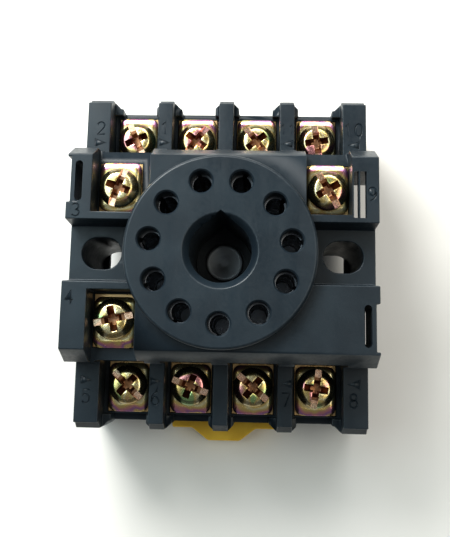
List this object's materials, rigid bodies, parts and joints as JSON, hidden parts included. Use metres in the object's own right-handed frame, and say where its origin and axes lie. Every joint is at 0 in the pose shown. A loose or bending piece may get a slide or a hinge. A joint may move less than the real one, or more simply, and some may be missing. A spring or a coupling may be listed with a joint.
{
  "type": "relay socket",
  "caption": "Plug-in relay socket with a round pin disc, screw terminals on two levels, two mounting slots and a rail latch.",
  "frame": {"origin": "under the middle of the whole outline, latch included, on the plane of the feet; the socket's own axis stands 1.35 mm to the +Y side", "axes": "+X along the mounting rail, +Y the long way, pointing away from the rail latch, +Z out of the pin holes"},
  "size_m": [0.042, 0.051, 0.03],
  "materials": {
    "moulding": "black moulded thermoset, satin",
    "latch_plastic": "yellow moulded plastic",
    "chromate": "zinc plate with yellow chromate",
    "contact_metal": "stamped brass",
    "rivet_steel": "darkened steel",
    "spring_steel": "spring wire"
  },
  "bodies": {
    "base": {"housing": "moulding", "rear_cover": "moulding", "hook_foot": "moulding", "latch_foot": "moulding", "centre_rivet": "rivet_steel", "latch_spring": "spring_steel", "contact_1": "contact_metal", "contact_2": "contact_metal", "contact_3": "contact_metal", "contact_4": "contact_metal", "contact_5": "contact_metal", "contact_6": "contact_metal", "contact_7": "contact_metal", "contact_8": "contact_metal", "contact_9": "contact_metal", "contact_10": "contact_metal", "contact_11": "contact_metal"},
    "latch": {"rail_latch": "latch_plastic"},
    "clamp_1_body": {"clamp_1": "chromate"},
    "screw_1_body": {"screw_1": "chromate"},
    "clamp_2_body": {"clamp_2": "chromate"},
    "screw_2_body": {"screw_2": "chromate"},
    "clamp_3_body": {"clamp_3": "chromate"},
    "screw_3_body": {"screw_3": "chromate"},
    "clamp_4_body": {"clamp_4": "chromate"},
    "screw_4_body": {"screw_4": "chromate"},
    "clamp_5_body": {"clamp_5": "chromate"},
    "screw_5_body": {"screw_5": "chromate"},
    "clamp_6_body": {"clamp_6": "chromate"},
    "screw_6_body": {"screw_6": "chromate"},
    "clamp_7_body": {"clamp_7": "chromate"},
    "screw_7_body": {"screw_7": "chromate"},
    "clamp_8_body": {"clamp_8": "chromate"},
    "screw_8_body": {"screw_8": "chromate"},
    "clamp_9_body": {"clamp_9": "chromate"},
    "screw_9_body": {"screw_9": "chromate"},
    "clamp_10_body": {"clamp_10": "chromate"},
    "screw_10_body": {"screw_10": "chromate"},
    "clamp_11_body": {"clamp_11": "chromate"},
    "screw_11_body": {"screw_11": "chromate"}
  },
  "joints": [
    {"name": "latch_slide", "type": "slide", "parent": "base", "child": "latch", "axis": [0, -1, 0], "range_m": [0, 0.0022], "stiffness_N_per_m": 800, "springref_m": -0.002, "deforming": ["latch_spring"]},
    {"name": "clamp_lift_1", "type": "slide", "parent": "base", "child": "clamp_1_body", "axis": [0, 0, 1], "range_m": [0, 0.002]},
    {"name": "screw_turn_1", "type": "hinge", "parent": "clamp_1_body", "child": "screw_1_body", "pos_m": [-0.0045, 0.01935, 0.0148], "axis": [0, 0, 1], "range_deg": [0, 1440]},
    {"name": "clamp_lift_2", "type": "slide", "parent": "base", "child": "clamp_2_body", "axis": [0, 0, 1], "range_m": [0, 0.002]},
    {"name": "screw_turn_2", "type": "hinge", "parent": "clamp_2_body", "child": "screw_2_body", "pos_m": [-0.0135, 0.01935, 0.0148], "axis": [0, 0, 1], "range_deg": [0, 1440]},
    {"name": "clamp_lift_3", "type": "slide", "parent": "base", "child": "clamp_3_body", "axis": [0, 0, 1], "range_m": [0, 0.002]},
    {"name": "screw_turn_3", "type": "hinge", "parent": "clamp_3_body", "child": "screw_3_body", "pos_m": [-0.0144, 0.01035, 0.0242], "axis": [0, 0, 1], "range_deg": [0, 1440]},
    {"name": "clamp_lift_4", "type": "slide", "parent": "base", "child": "clamp_4_body", "axis": [0, 0, 1], "range_m": [0, 0.002]},
    {"name": "screw_turn_4", "type": "hinge", "parent": "clamp_4_body", "child": "screw_4_body", "pos_m": [-0.0144, -0.00765, 0.0242], "axis": [0, 0, 1], "range_deg": [0, 1440]},
    {"name": "clamp_lift_5", "type": "slide", "parent": "base", "child": "clamp_5_body", "axis": [0, 0, 1], "range_m": [0, 0.002]},
    {"name": "screw_turn_5", "type": "hinge", "parent": "clamp_5_body", "child": "screw_5_body", "pos_m": [-0.0135, -0.01665, 0.0148], "axis": [0, 0, 1], "range_deg": [0, 1440]},
    {"name": "clamp_lift_6", "type": "slide", "parent": "base", "child": "clamp_6_body", "axis": [0, 0, 1], "range_m": [0, 0.002]},
    {"name": "screw_turn_6", "type": "hinge", "parent": "clamp_6_body", "child": "screw_6_body", "pos_m": [-0.0045, -0.01665, 0.0148], "axis": [0, 0, 1], "range_deg": [0, 1440]},
    {"name": "clamp_lift_7", "type": "slide", "parent": "base", "child": "clamp_7_body", "axis": [0, 0, 1], "range_m": [0, 0.002]},
    {"name": "screw_turn_7", "type": "hinge", "parent": "clamp_7_body", "child": "screw_7_body", "pos_m": [0.0045, -0.01665, 0.0148], "axis": [0, 0, 1], "range_deg": [0, 1440]},
    {"name": "clamp_lift_8", "type": "slide", "parent": "base", "child": "clamp_8_body", "axis": [0, 0, 1], "range_m": [0, 0.002]},
    {"name": "screw_turn_8", "type": "hinge", "parent": "clamp_8_body", "child": "screw_8_body", "pos_m": [0.0135, -0.01665, 0.0148], "axis": [0, 0, 1], "range_deg": [0, 1440]},
    {"name": "clamp_lift_9", "type": "slide", "parent": "base", "child": "clamp_9_body", "axis": [0, 0, 1], "range_m": [0, 0.002]},
    {"name": "screw_turn_9", "type": "hinge", "parent": "clamp_9_body", "child": "screw_9_body", "pos_m": [0.0144, 0.01035, 0.0242], "axis": [0, 0, 1], "range_deg": [0, 1440]},
    {"name": "clamp_lift_10", "type": "slide", "parent": "base", "child": "clamp_10_body", "axis": [0, 0, 1], "range_m": [0, 0.002]},
    {"name": "screw_turn_10", "type": "hinge", "parent": "clamp_10_body", "child": "screw_10_body", "pos_m": [0.0135, 0.01935, 0.0148], "axis": [0, 0, 1], "range_deg": [0, 1440]},
    {"name": "clamp_lift_11", "type": "slide", "parent": "base", "child": "clamp_11_body", "axis": [0, 0, 1], "range_m": [0, 0.002]},
    {"name": "screw_turn_11", "type": "hinge", "parent": "clamp_11_body", "child": "screw_11_body", "pos_m": [0.0045, 0.01935, 0.0148], "axis": [0, 0, 1], "range_deg": [0, 1440]}
  ],
  "couplings": [
    {"joint": "screw_turn_1", "follows": "clamp_lift_1", "rad_per_m": 12566},
    {"joint": "screw_turn_2", "follows": "clamp_lift_2", "rad_per_m": 12566},
    {"joint": "screw_turn_3", "follows": "clamp_lift_3", "rad_per_m": 12566},
    {"joint": "screw_turn_4", "follows": "clamp_lift_4", "rad_per_m": 12566},
    {"joint": "screw_turn_5", "follows": "clamp_lift_5", "rad_per_m": 12566},
    {"joint": "screw_turn_6", "follows": "clamp_lift_6", "rad_per_m": 12566},
    {"joint": "screw_turn_7", "follows": "clamp_lift_7", "rad_per_m": 12566},
    {"joint": "screw_turn_8", "follows": "clamp_lift_8", "rad_per_m": 12566},
    {"joint": "screw_turn_9", "follows": "clamp_lift_9", "rad_per_m": 12566},
    {"joint": "screw_turn_10", "follows": "clamp_lift_10", "rad_per_m": 12566},
    {"joint": "screw_turn_11", "follows": "clamp_lift_11", "rad_per_m": 12566}
  ]
}
